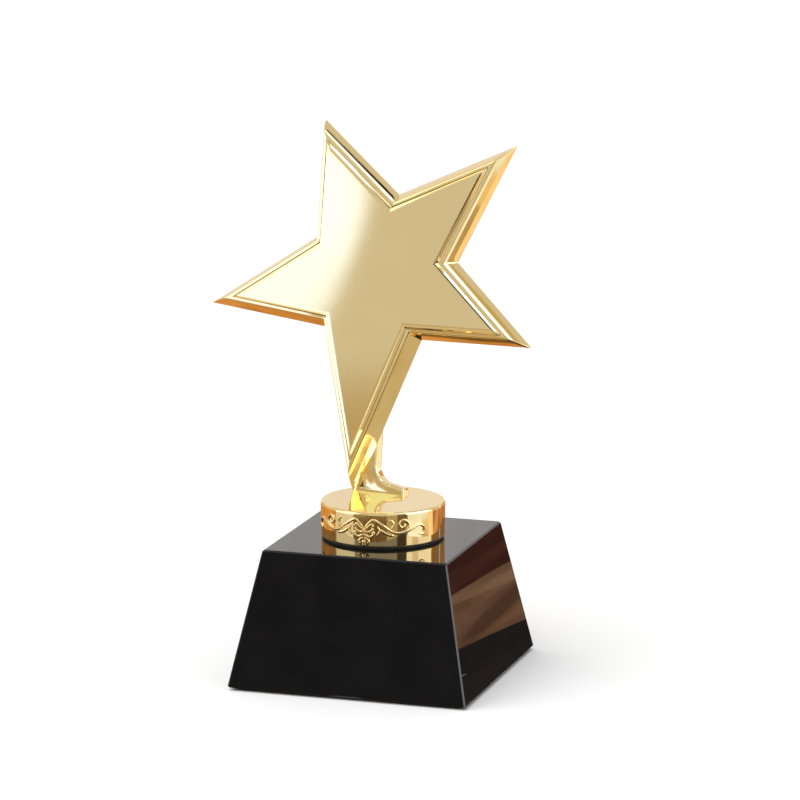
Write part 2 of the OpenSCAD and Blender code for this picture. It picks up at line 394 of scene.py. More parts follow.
def bonding_film():
    """Pale matt adhesive film."""
    material, shader, add, link = new_material("bonding_film")
    cloud = noise_of(add, scale=300, detail=4)
    tint = tint_of(add, cloud.outputs[0], (0.74, 0.71, 0.63), (0.84, 0.82, 0.75))
    link(tint, "Base Color")
    link(spread_of(add, cloud.outputs[0], 0.45, 0.65), "Roughness")
    link(bumps_of(add, [(cloud.outputs[0], mm(0.02))]), "Normal")
    return material


POLISHED_GOLD = polished_gold()
SATIN_GOLD = satin_gold()
BLACK_CRYSTAL = black_crystal()
BLACK_RUBBER = black_rubber()
PLATED_SCREW = plated_metal("plated_screw", (0.70, 0.54, 0.27), (0.82, 0.66, 0.37))
ZINC_STEEL = plated_metal("zinc_steel", (0.58, 0.59, 0.61), (0.72, 0.73, 0.75))
BONDING_FILM = bonding_film()

# ---- Star ----

# A tip and the notch that follows it, five times round
STAR = [polar(*point) for pair in zip(TIPS, NOTCHES) for point in pair]
FLARE = [STAR_FLARE + extra for extra in FLARE_EXTRA]
TIP_ROUND = 0.12             # radius of the star's tips, and of its notches
NOTCH_ROUND = 0.35
CORNER_STEPS = 6             # parts that each corner and each side are divided into
SIDE_STEPS = 24


def side_direction(i):
    """Along the side that starts at corner i."""
    return (STAR[(i + 1) % len(STAR)] - STAR[i % len(STAR)]).normalized()


def side_normal(i):
    """Out of the clockwise outline, square to the side that starts at corner i."""
    along = side_direction(i)
    return Vector((-along.y, along.x))


def moved_corner(i, growth):
    """Corner i of the outline, with each side moved out by its own growth, square to itself."""
    a, b = side_normal(i - 1), side_normal(i)
    c = a.dot(b)
    before, after = growth[i - 1], growth[i]
    return STAR[i] + ((before - after * c) * a + (after - before * c) * b) / (1 - c * c)


def corner_arc(i, growth):
    """The rounded corner i of the grown outline."""
    before, after = side_direction(i - 1), side_direction(i)
    turn = before.angle_signed(after)
    radius = TIP_ROUND if i % 2 == 0 else NOTCH_ROUND
    reach = radius * math.tan(abs(turn) / 2)
    corner = moved_corner(i, growth)
    start = corner - before * reach
    centre = corner + (after - before).normalized() * radius / math.cos(turn / 2)
    points = []
    for k in range(CORNER_STEPS + 1):
        turned = Matrix.Rotation(-turn * k / CORNER_STEPS, 2)
        points.append(centre + turned @ (start - centre))
    return points


def star_outline(w, flared=0):
    """The outline grown by w and by a share of the flare, round the star's centre.

    Its corners are rounded and its sides evenly divided.
    """
    growth = [w + flared * flare for flare in FLARE]
    arcs = [corner_arc(i, growth) for i in range(len(STAR))]
    outline = []
    for i, points in enumerate(arcs):
        following = arcs[(i + 1) % len(arcs)][0]
        outline += points
        outline += [points[-1].lerp(following, k / SIDE_STEPS) for k in range(1, SIDE_STEPS)]
    return outline


lean = math.radians(STAR_LEAN)
STAR_CENTRE = Vector((
    STAR_CENTRE_X,
    (TOTAL_HEIGHT - DRUM_TOP) / math.cos(lean) - moved_corner(0, FLARE).y))
STAR_PLACE = (
    Matrix.Translation((0, mm(STAR_BACK_Y), mm(DRUM_TOP)))
    @ Matrix.Rotation(math.radians(STAR_YAW), 4, "Z")
    @ Matrix.Rotation(-lean, 4, "X"))


def in_star(x, y, z):
    """A point of the star's own upright frame: x across, z up the star, y = 0 on its back."""
    return STAR_PLACE @ Vector((mm(x), mm(y), mm(z)))


def star_ring(outline, depth):
    """An outline round the star's centre as a ring of points at one depth."""
    return [in_star(STAR_CENTRE.x + p.x, depth, STAR_CENTRE.y + p.y) for p in outline]


ROUNDING_STEPS = 5


def rounded_profile(corners):
    """A section whose inner corners are rounded. Each corner is (w, flared, depth, reach)."""
    points = [Vector(corners[0][:3])]
    for before, here, after in zip(corners, corners[1:], corners[2:]):
        corner, reach = Vector(here[:3]), here[3]
        start = corner + (Vector(before[:3]) - corner).normalized() * reach
        end = corner + (Vector(after[:3]) - corner).normalized() * reach
        for k in range(ROUNDING_STEPS + 1):
            t = k / ROUNDING_STEPS
            points.append(start * (1 - t) ** 2 + corner * 2 * t * (1 - t) + end * t ** 2)
    points.append(Vector(corners[-1][:3]))
    return points


SIDE_BULGE = 0.12            # how far the middle of the star's sides swells
SIDE_RINGS = 8
RIM_FALL = 0.03              # how far the flat rim falls towards its outside
RECESS_FLOOR_W = 0.6         # width of the recess floor that is drawn, in from its wall
BACK_W = 0.8                 # the same for the back, in from its edge
# Reach of the rounding at each kind of corner
FLOOR_REACH = 0.1
RIM_REACH = 0.06
FRONT_REACH = 0.34
SIDE_REACH = 0.1
BACK_REACH = 0.12


def star_body():
    """The cast star: recess floor, flat rim, rounded front edge, softly swollen sides and back."""
    front = -STAR_T
    floor = front + PLATE_SEAT + ADHESIVE_T
    side_depth = STAR_T - RIM_CHAMFER
    sides = []
    for k in range(1, SIDE_RINGS + 1):
        t = k / SIDE_RINGS
        reach = BACK_REACH if k == SIDE_RINGS else SIDE_REACH
        sides.append((4 * SIDE_BULGE * t * (1 - t), t, (t - 1) * side_depth, reach))
    profile = rounded_profile([
        (-RIM_W - RECESS_FLOOR_W, 0, floor, 0),
        (-RIM_W, 0, floor, FLOOR_REACH),
        (-RIM_W, 0, front - RIM_FALL, RIM_REACH),
        (-SIDE_BULGE, -RIM_CHAMFER / side_depth, front, FRONT_REACH),
        *sides,
        (-BACK_W, 1, 0, 0),
    ])
    mesh_data = bmesh.new()
    skin(mesh_data, [star_ring(star_outline(w, flared), depth) for w, flared, depth in profile])
    cut_below(mesh_data, mm(DRUM_TOP))
    finish_piece("star_body", mesh_data, POLISHED_GOLD, ["star_casting"], crease=50)


CROWN = 0.9                  # height of the face plate's soft crown, half of it above the nominal face
CROWN_REACH = Vector((30, 46))       # how far across and how far up it falls by half of that
TWIST = 0.0009               # slight warp of the plate, per mm of width and height
TWIST_REACH = 30             # distance over which it levels off
TILT = 0.003                 # how far the plate falls away to the right, per mm
EDGE_DROP = 0.05             # how far the plate's face falls away along its edge
EDGE_SOFT = 1.1              # and the width over which it does
EDGE_RINGS = 7
PLATE_RINGS = 24
# The bevel from the rim up: (how far in from the plate's edge, how far above the rim, share of the crown)
BEVEL_FOOT = [(0, 0.03, 0), (0.05, 0.1, 0), (0.14, 0.24, 0.2)]
# and its upper end: (how far out from the face's edge, how far below it, share of the crown)
BEVEL_HEAD = (0.04, 0.08, 0.9)


def plate_rise(x, z):
    """Rise of the face plate at a point round the star's centre: a soft crown with a slight warp."""
    crown = CROWN / (1 + (x / CROWN_REACH.x) ** 2 + (z / CROWN_REACH.y) ** 2) - CROWN / 2
    return crown + TWIST * x * z / (1 + (x * x + z * z) / TWIST_REACH ** 2) - TILT * x


def plate_ring(outline, depth, share):
    """A ring of the face plate that follows a share of its rise."""
    ring = []
    for p in outline:
        rise = share * plate_rise(p.x, p.y)
        ring.append(in_star(STAR_CENTRE.x + p.x, depth - rise, STAR_CENTRE.y + p.y))
    return ring


def satin_face():
    """The satin plate that stands proud of the rim: bevelled edge and softly crowned face."""
    top = -STAR_T - PLATE_RISE
    edge = -RIM_W - PLATE_GAP
    face_edge = edge - PLATE_BEVEL_W
    out, below, head_share = BEVEL_HEAD
    # (w, depth, share of the crown) from the plate's seat up its bevel and across its edge
    section = [(edge, PLATE_SEAT - STAR_T, 0)]
    section += [(edge - inward, -STAR_T - above, share) for inward, above, share in BEVEL_FOOT]
    section += [(face_edge + out, top + EDGE_DROP + below, head_share)]
    for k in range(EDGE_RINGS + 1):
        t = k / EDGE_RINGS
        section.append((face_edge - EDGE_SOFT * t, top + EDGE_DROP * (1 - t) ** 2, 1))
    rings = [plate_ring(star_outline(w), depth, share) for w, depth, share in section]
    inner = star_outline(face_edge - EDGE_SOFT)
    for k in range(1, PLATE_RINGS):
        shrunk = [p * (1 - k / PLATE_RINGS) for p in inner]
        rings.append(plate_ring(shrunk, top, 1))
    mesh_data = bmesh.new()
    skin(mesh_data, rings)
    finish_piece("satin_face", mesh_data, SATIN_GOLD, ["face_plate"])


# ---- Foot ----

FOOT_BELOW = 1.2             # how far the foot is drawn below the drum's top before it is cut level
FOOT_FRONT_ROUND = 0.9       # rounding of its front and back edges
FOOT_BACK_ROUND = 0.6
FOOT_ROUND_STEPS = 6
FOOT_RECESS_LIP = 0.1        # how much wider than its outline the recess is at the foot's face
FOOT_RECESS_SLOPE = 0.7      # how much narrower it is at its floor
OVERRUN = 1                  # how far a cutter runs on in the open
HOLE_STEPS = 48


def foot_outline():
    """The foot from the front, clockwise from its heel: upright, round head, hollow sweep and toe."""
    edge_x = FOOT_HEAD.x + FOOT_HEAD_R
    toe_r = TOE_H / 2
    toe_x = edge_x + TOE_LENGTH
    sweep = (edge_x + TOE_FILLET_R, TOE_H + TOE_FILLET_LIFT + TOE_FILLET_R)
    outline = [Vector((FOOT_HEEL_X, -FOOT_BELOW)), Vector((FOOT_HEAD.x - FOOT_HEAD_R, FOOT_WAIST_Z))]
    outline += arc(FOOT_HEAD, FOOT_HEAD_R, 180, 0, steps=24)
    outline += arc(sweep, TOE_FILLET_R, 180, 270, steps=14)
    outline += arc((toe_x - toe_r, toe_r), toe_r, 90, 0, steps=8)
    outline += [Vector((toe_x, -FOOT_BELOW))]
    return outline


def moved_outline(outline, w):
    """A clockwise outline moved out by w."""
    count = len(outline)
    moved = []
    for i, point in enumerate(outline):
        before = (point - outline[i - 1]).normalized()
        after = (outline[(i + 1) % count] - point).normalized()
        a, b = Vector((-before.y, before.x)), Vector((-after.y, after.x))
        moved.append(point + (a + b) * w / (1 + a.dot(b)))
    return moved


def recess_cutter():
    """The shallow triangular recess low on the foot's front, with sloping walls."""
    outline = [Vector(p) for p in FOOT_RECESS][::-1]
    levels = [
        (FOOT_RECESS_LIP, -OVERRUN), (FOOT_RECESS_LIP, 0), (-FOOT_RECESS_SLOPE, FOOT_RECESS_DEPTH)]
    mesh_data = bmesh.new()
    skin(mesh_data, [
        [in_star(p.x, depth, p.y) for p in moved_outline(outline, w)]
        for w, depth in levels], fan_ends=False)
    return mesh_data


def countersink():
    """The holes for the two countersunk screws, which widen towards the foot's back."""
    mesh_data = bmesh.new()
    hole_r = BRACKET_SCREW_R + BRACKET_CLEARANCE
    head_r = BRACKET_HEAD_R + BRACKET_CLEARANCE
    levels = [
        (-OVERRUN, hole_r), (FOOT_T - BRACKET_HEAD_H, hole_r),
        (FOOT_T, head_r), (FOOT_T + OVERRUN, head_r)]
    for spot in BRACKET_SPOTS:
        skin(mesh_data, [
            [in_star(p.x, depth, p.y) for p in arc(spot, radius, 0, 360, HOLE_STEPS)[:-1]]
            for depth, radius in levels])
    return mesh_data


def support_foot():
    """The bracket behind the long arm, with rounded edges, its recess and its two holes."""
    outline = foot_outline()
    rings = []
    for radius, start_depth, sign in ((FOOT_FRONT_ROUND, 0, 1), (FOOT_BACK_ROUND, FOOT_T, -1)):
        quarter = []
        for k in range(FOOT_ROUND_STEPS + 1):
            angle = math.radians(90 * k / FOOT_ROUND_STEPS)
            ring = moved_outline(outline, -radius * (1 - math.sin(angle)))
            quarter.append((ring, start_depth + sign * radius * (1 - math.cos(angle))))
        rings += quarter[::sign]
    mesh_data = bmesh.new()
    skin(mesh_data, [[in_star(p.x, depth, p.y) for p in ring] for ring, depth in rings], fan_ends=False)
    mesh_data = carved(mesh_data, recess_cutter())
    mesh_data = carved(mesh_data, countersink())
    cut_below(mesh_data, mm(DRUM_TOP))
    finish_piece("foot", mesh_data, POLISHED_GOLD, ["support_foot"], crease=40)


# ---- Pedestal ----

ROUND_STEPS = 12             # parts that the drum's rounded edges are divided into
DRUM_STEPS = 192             # parts that the drum, and the ring under it, are divided into all round
RING_STEPS = 128
RING_EDGE = 0.15             # rounding of the ring's edges
RING_EDGE_STEPS = 4
DRUM_TOP_RINGS = (0.9, 0.75, 0.5, 0.25)      # shares of its radius at which its flat top is divided


def drum_radius(z):
    """Radius of the drum's outside at a height above its bottom."""
    top = DRUM_H - DRUM_TOP_ROUND
    for round_r, beyond in ((DRUM_BOTTOM_ROUND, DRUM_BOTTOM_ROUND - z), (DRUM_TOP_ROUND, z - top)):
        if beyond > 0:
            return DRUM_R - round_r + math.sqrt(max(0, round_r ** 2 - beyond ** 2))
    return DRUM_R


def drum_profile():
    """Closed half section of the drum: bore, boss, cavity and rounded outside, from its bottom."""
    t, b = DRUM_TOP_ROUND, DRUM_BOTTOM_ROUND
    cavity_top = DRUM_H - DRUM_WALL
    inner_r = DRUM_R - DRUM_WALL
    section = [(0, STUD_ENGAGEMENT), (STUD_R, STUD_ENGAGEMENT), (STUD_R, 0), (BOSS_R, 0)]
    section += [(BOSS_R, cavity_top), (inner_r, cavity_top), (inner_r, 0)]
    section += [tuple(p) for p in arc((DRUM_R - b, b), b, -90, 0, ROUND_STEPS)]
    section += [tuple(p) for p in arc((DRUM_R - t, DRUM_H - t), t, 0, 90, ROUND_STEPS)]
    section += [(DRUM_R * share, DRUM_H) for share in DRUM_TOP_RINGS]
    section += [(0, DRUM_H)]
    return section


def pedestal():
    """The hollow gold drum."""
    mesh_data = lathe(drum_profile(), DRUM_STEPS, DRUM_BOTTOM)
    finish_piece("pedestal", mesh_data, POLISHED_GOLD, ["pedestal_drum"], crease=40)


def rubber_ring():
    """The black ring between the drum and the crystal base, with rounded outer edges."""
    centre_r = GASKET_R - RING_EDGE
    section = [(GASKET_BORE_R, 0)]
    for z, start in ((RING_EDGE, -90), (GASKET_H - RING_EDGE, 0)):
        section += [tuple(p) for p in arc((centre_r, z), RING_EDGE, start, start + 90, RING_EDGE_STEPS)]
    section += [(GASKET_BORE_R, GASKET_H)]
    mesh_data = lathe(section, RING_STEPS, GASKET_BOTTOM)
    finish_piece("rubber_ring", mesh_data, BLACK_RUBBER, ["gasket_ring"])


# ---- Vine relief on the pedestal ----

RELIEF_REPEATS = 2
RELIEF_H = 0.42              # how far a stroke stands out from the drum's side
RELIEF_SUNK = 0.15           # how far it is let into it
STROKE_TIP = 0.22            # share of a stroke's length over which each end tapers
STROKE_END = 0.1             # share of its size that is left at the very end
STROKE_SIDES = 8
STROKE_STEPS = 6             # parts that the line between two of its points is divided into


def on_drum(u, z, lift, turn):
    """A point u round the drum's side from the front and z up it, lifted off it, then turned."""
    angle = u / DRUM_R + turn
    radius = drum_radius(z) + lift
    return Vector((mm(radius * math.sin(angle)), mm(-radius * math.cos(angle)), mm(DRUM_BOTTOM + z)))


def spiral(centre, start_r, end_r, start, end, points):
    """Points along a spiral about a centre, from one angle to another."""
    line = []
    for k in range(points):
        t = k / (points - 1)
        line.append(Vector(centre) + polar(start_r + (end_r - start_r) * t, start + (end - start) * t))
    return line


def stroke(mesh_data, points, width, turn, mirror):
    """A raised, half-round stroke along a smooth line, tapering to a point at each end."""
    line = smooth_line([Vector(p) for p in points], STROKE_STEPS)
    last = len(line) - 1
    rings = []
    for i, point in enumerate(line):
        taper = min(1, i / last / STROKE_TIP, (1 - i / last) / STROKE_TIP)
        size = max(STROKE_END, math.sqrt(taper * (2 - taper)))
        ahead = line[min(i + 1, last)] - line[max(i - 1, 0)]
        across = Vector((-ahead.y, ahead.x)).normalized()
        ring = []
        for k in range(STROKE_SIDES + 1):
            angle = math.pi * k / STROKE_SIDES
            side = point + across * (math.cos(angle) * width / 2 * size)
            sunk = RELIEF_SUNK if k in (0, STROKE_SIDES) else 0
            lift = RELIEF_H * size * math.sin(angle) - sunk
            ring.append(on_drum(mirror * side.x, side.y, lift, turn))
        rings.append(ring)
    skin(mesh_data, rings)


# One half of the pattern, right of its palmette: (points, width). u runs round the side, z up it.
HALF_PATTERN = [
    # main vine: from the palmette over its shoulder, down to a trough and up to a hooked end
    ([(0, 5.5), (1.2, 6.9), (2.5, 7.9), (3.8, 7.4), (5.3, 6.4), (7.3, 4.9), (9.2, 4.2), (11.4, 4.4),
      (13.6, 5.2), (15.7, 6.1), (17.3, 5.4), (17.6, 4.1), (16.6, 3.3), (15.5, 3.7)], 0.85),
    # curl that springs from the trough and turns in on itself
    ([(9.9, 4.5), (11.3, 4.8)] + spiral((10.9, 6.5), 1.65, 0.3, -30, 420, points=12), 0.7),
    # leaf that stands in the trough, and its side leaf
    ([(7.3, 5.2), (8.0, 6.2), (7.9, 7.3), (6.9, 8.1)], 0.75),
    # leaf under the descending vine
    ([(4.6, 5.3), (5.6, 4.5), (6.8, 3.9), (8.4, 3.5)], 1.0),
    # bracket beside the palmette
    ([(3.8, 6.3), (4.3, 5.1), (4.1, 4.3), (3.4, 3.6)], 0.6),
    # tiers of the palmette's leaves, each ending in a curl
    ([(0.4, 5.2), (1.2, 6.0), (2.1, 6.7), (2.5, 6.2), (2.1, 5.8)], 0.7),
    ([(0.1, 4.9), (0.8, 4.5), (1.7, 4.7), (2.4, 5.3), (2.0, 5.6)], 0.75),
    ([(0.1, 4.0), (0.8, 3.5), (1.6, 3.2), (2.5, 3.6), (2.7, 4.4), (1.9, 4.3)], 0.8),
    ([(0.1, 3.0), (0.7, 2.7), (1.3, 2.2), (1.3, 1.6), (0.9, 1.5)], 0.7),
]
# The palmette's middle: a rib with a drop below it
MIDDLE_PATTERN = [
    ([(0, 5.8), (0, 4.4), (0, 2.7)], 0.6),
    ([(0, 2.4), (0, 1.4), (0, 0.5)], 1.2),
]


def vine_relief():
    """The vine-and-leaf pattern on the drum's side, repeated evenly round it."""
    mesh_data = bmesh.new()
    for repeat in range(RELIEF_REPEATS):
        turn = math.tau * repeat / RELIEF_REPEATS
        for points, width in MIDDLE_PATTERN:
            stroke(mesh_data, points, width, turn, 1)
        for mirror in (-1, 1):
            for points, width in HALF_PATTERN:
                stroke(mesh_data, points, width, turn, mirror)
    finish_piece("vine_relief", mesh_data, POLISHED_GOLD, crease=80)


# ---- Pad ----

PAD_EDGE = 0.12              # chamfer of the pad's edges
PAD_CORNER_STEPS = 8


def rounded_square(half, radius, steps):
    """A square's outline with rounded corners, clockwise."""
    inner = half - radius
    outline = []
    for start, x, y in ((180, -1, 1), (90, 1, 1), (0, 1, -1), (-90, -1, -1)):
        outline += arc((x * inner, y * inner), radius, start, start - 90, steps)
    return outline


def rubber_pad():
    """The thin square pad under the crystal base."""
    outline = rounded_square(PAD_HALF_W, PAD_CORNER_R, PAD_CORNER_STEPS)
    levels = [(PAD_EDGE, 0), (0, PAD_EDGE), (0, PAD_H - PAD_EDGE), (PAD_EDGE, PAD_H)]
    mesh_data = bmesh.new()
    skin(mesh_data, [
        [Vector((mm(p.x), mm(p.y), mm(z))) for p in moved_outline(outline, -inset)]
        for inset, z in levels])
    finish_piece("rubber_pad", mesh_data, BLACK_RUBBER, ["base_pad"])


# ---- Pieces ----

star_body()
satin_face()
support_foot()
pedestal()
vine_relief()
rubber_ring()
rubber_pad()

CARRIED_OVER = {
    "crystal_base": BLACK_CRYSTAL,
    "plate_adhesive": BONDING_FILM,
    "bracket_screws": PLATED_SCREW,
    "pedestal_screws": PLATED_SCREW,
    "pedestal_washers": ZINC_STEEL,
    "stud": ZINC_STEEL,
    "clamp_washer": ZINC_STEEL,
    "lock_washer": ZINC_STEEL,
    "hex_nut": ZINC_STEEL,
}
for node, material in CARRIED_OVER.items():
    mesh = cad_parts[node].data
    mesh.materials.clear()
    mesh.materials.append(material)

# ---- Studio ----

MIDDLE = Vector((0, 0, 0.0759))      # of the trophy, about half way up it, in metres
MOTTLE_SCALE = 16            # the mottle of a glowing card is about 1/16 metre across
MOTTLE_STRETCH = (2.4, 0.6, 1)       # and drawn out from front to back
MOTTLE_DETAIL = 6
MOTTLE_DISTORTION = 0.7
MOTTLE_RANGE = (0.38, 0.62)  # noise values at which it is darkest and lightest
CARD_STEPS = 24              # parts that a card is divided into from side to side
TABLE_CARD_HEIGHT = 0.2      # millimetres above the floor
REFLECTOR_DISTANCE = 1.5     # metres from the trophy's middle
SCREEN_DISTANCE = 1.4
FLOOR_HALF_W = 3             # metres
WORLD_STRENGTH = 0.66


def direction(azimuth, elevation):
    """Unit vector towards a place round the trophy. Azimuth 0 is the front, and it grows to the right."""
    a, e = math.radians(azimuth), math.radians(elevation)
    return Vector((math.sin(a) * math.cos(e), -math.cos(a) * math.cos(e), math.sin(e)))


def glow(name, dark, light):
    """A material that gives off light, softly mottled between two colours."""
    material = bpy.data.materials.new(name)
    material.use_nodes = True
    nodes, links = material.node_tree.nodes, material.node_tree.links
    nodes.remove(nodes["Principled BSDF"])
    place = nodes.new("ShaderNodeTexCoord")
    stretch = nodes.new("ShaderNodeMapping")
    stretch.inputs["Scale"].default_value = MOTTLE_STRETCH
    mottle = nodes.new("ShaderNodeTexNoise")
    mottle.inputs["Scale"].default_value = MOTTLE_SCALE
    mottle.inputs["Detail"].default_value = MOTTLE_DETAIL
    mottle.inputs["Distortion"].default_value = MOTTLE_DISTORTION
    ramp = nodes.new("ShaderNodeValToRGB")
    for element, position, colour in zip(ramp.color_ramp.elements, MOTTLE_RANGE, (dark, light)):
        element.position = position
        element.color = (*colour, 1)
    emission = nodes.new("ShaderNodeEmission")
    links.new(place.outputs["Object"], stretch.inputs["Vector"])
    links.new(stretch.outputs[0], mottle.inputs["Vector"])
    links.new(mottle.outputs[0], ramp.inputs["Fac"])
    links.new(ramp.outputs["Color"], emission.inputs["Color"])
    links.new(emission.outputs[0], nodes["Material Output"].inputs["Surface"])
    return material


def glossy_card(name, lower, upper, dark, light):
    """A card between two rows of points that only shows in reflections."""
    faces = []
    for k in range(CARD_STEPS):
        faces.append((k, k + 1, CARD_STEPS + 2 + k, CARD_STEPS + 1 + k))
    mesh = bpy.data.meshes.new(name)
    mesh.from_pydata(lower + upper, [], faces)
    mesh.materials.append(glow(name, dark, light))
    card = bpy.data.objects.new(name, mesh)
    bpy.context.scene.collection.objects.link(card)
    card.visible_camera = False
    card.visible_diffuse = False
    card.visible_shadow = False


def steps_between(start, end):
    """Evenly spaced values for the points along a card's side."""
    return [start + (end - start) * k / CARD_STEPS for k in range(CARD_STEPS + 1)]


def reflector(name, distance, azimuths, elevations, dark, light):
    """A card round the trophy over a range of azimuths and elevations, as seen from its middle."""
    rows = []
    for elevation in elevations:
        rows.append([MIDDLE + direction(a, elevation) * distance for a in steps_between(*azimuths)])
    glossy_card(name, *rows, dark, light)


def table_card(name, azimuths, near, far, dark, light):
    """A card that lies just over the floor, over a range of azimuths.

    Its near and far sides are each (distance at the first azimuth, distance at the last).
    """
    height = Vector((0, 0, mm(TABLE_CARD_HEIGHT)))
    rows = []
    for side in (near, far):
        places = zip(steps_between(*azimuths), steps_between(*side))
        rows.append([direction(azimuth, 0) * radius + height for azimuth, radius in places])
    glossy_card(name, *rows, dark, light)


def sunlight(name, azimuth, elevation, angle, strength):
    """A very soft distant light that doesn't show in reflections."""
    light = bpy.data.lights.new(name, "SUN")
    light.energy = strength
    light.angle = math.radians(angle)
    lamp = bpy.data.objects.new(name, light)
    bpy.context.scene.collection.objects.link(lamp)
    lamp.rotation_euler = direction(azimuth, elevation).to_track_quat("Z", "Y").to_euler()
    lamp.visible_glossy = False


def pale_floor():
    """The pale surface that the trophy stands on."""
    material, shader, add, link = new_material("pale_floor")
    cloud = noise_of(add, scale=6, detail=2)
    tint = tint_of(add, cloud.outputs[0], (0.92, 0.92, 0.92), (0.94, 0.94, 0.94))
    link(tint, "Base Color")
    shader.inputs["Roughness"].default_value = 1
    shader.inputs["Specular IOR Level"].default_value = 0
    mesh_data = bmesh.new()
    bmesh.ops.create_grid(mesh_data, x_segments=8, y_segments=8, size=FLOOR_HALF_W)
    mesh = bpy.data.meshes.new("floor")
    mesh_data.to_mesh(mesh)
    mesh_data.free()
    mesh.materials.append(material)
    floor = bpy.data.objects.new("floor", mesh)
    bpy.context.scene.collection.objects.link(floor)


# Glows that several cards share: (darkest, lightest)
SOFTBOX = ((1.8, 1.8, 1.75), (1.95, 1.95, 1.9))
RAISED_CLOTH = ((0.6, 0.32, 0.12), (0.8, 0.46, 0.2))
# painted highlight on the lit ridges of the cloth's folds
FOLD_HIGHLIGHT = ((0.55, 0.29, 0.14), (0.85, 0.48, 0.26))
DARK_CLOTH = ((0.15, 0.04, 0.025), (0.24, 0.07, 0.04))
# Painted shadow of the base, for the cards that lie close round it on the table
BASE_SHADOW = ((0.045, 0.035, 0.03), (0.065, 0.05, 0.04))

# What the polished metal and the crystal mirror: (azimuths, elevations, darkest glow, lightest glow)
REFLECTORS = {
    # soft boxes on the left, on the right and overhead
    "left_softbox_edge": ((-43, -35.9), (-6, 8.5), (1.15, 1.4, 2.1), (1.3, 1.6, 2.6)),
    "left_softbox": ((-78, -43), (-6, 8.5), (2.3, 2.45, 2.75), (2.45, 2.6, 2.9)),
    "left_softbox_top": ((-78, -35.9), (8.5, 20), *SOFTBOX),
    "left_softbox_window": ((-78, -35.9), (20, 33), (0.85, 1.1, 1.15), (0.95, 1.25, 1.35)),
    "left_softbox_high": ((-78, -35.9), (33, 55), *SOFTBOX),
    "right_softbox": ((62, 118), (-2, 34), (2.9, 2.85, 2.7), (3.1, 3.05, 2.9)),
    "right_softbox_top": ((86, 118), (34, 42), (2.6, 3.4, 6.0), (2.9, 3.8, 6.6)),
    "top_softbox": ((30, 140), (54.5, 70), (1.4, 1.75, 2.7), (1.5, 1.85, 2.9)),
    # bars high up on the right, towards the back
    "brown_beam": ((124, 136), (47, 54), (0.5, 0.4, 0.22), (0.6, 0.5, 0.3)),
    "dark_beam": ((144, 152.5), (46.5, 54), (0.02, 0.012, 0.008), (0.05, 0.03, 0.015)),
    # walls, cloth and dark screens round the table
    "back_wall": ((178, 222), (-4, 14), (0.83, 0.8, 0.79), (0.89, 0.86, 0.85)),
    "back_wall_top": ((150, 265), (14, 34), (0.82, 0.79, 0.8), (0.88, 0.85, 0.86)),
    "raised_cloth_left": ((222, 279), (-4, 14), *RAISED_CLOTH),
    "raised_cloth_right": ((119, 144.5), (-4, 14), *RAISED_CLOTH),
    "side_glow": ((144.5, 149), (-4, 14), (1.0, 1.2, 1.9), (1.1, 1.3, 2.1)),
    "raised_cloth_rear": ((149, 178), (-4, 14), *RAISED_CLOTH),
    "front_flag": ((-25, -9), (2.8, 15), (0.09, 0.085, 0.08), (0.11, 0.1, 0.09)),
    "low_front_flag": ((-25, -9), (0, 2.8), (0.34, 0.31, 0.26), (0.4, 0.37, 0.31)),
    "low_wall": ((-35.9, -25), (-3, 0.5), (0.5, 0.41, 0.26), (0.56, 0.46, 0.31)),
    "low_wall_top": ((-35.9, -25), (0.5, 1.1), (0.56, 0.51, 0.42), (0.6, 0.55, 0.46)),
    "dark_gap": ((43, 61), (-2, 20), (0.13, 0.1, 0.08), (0.19, 0.15, 0.12)),
}
# A dimmer screen that hangs in front of those
SCREENS = {
    "right_screen": ((73, 86), (8, 13), (2.1, 1.85, 1.7), (2.25, 2.0, 1.85)),
}
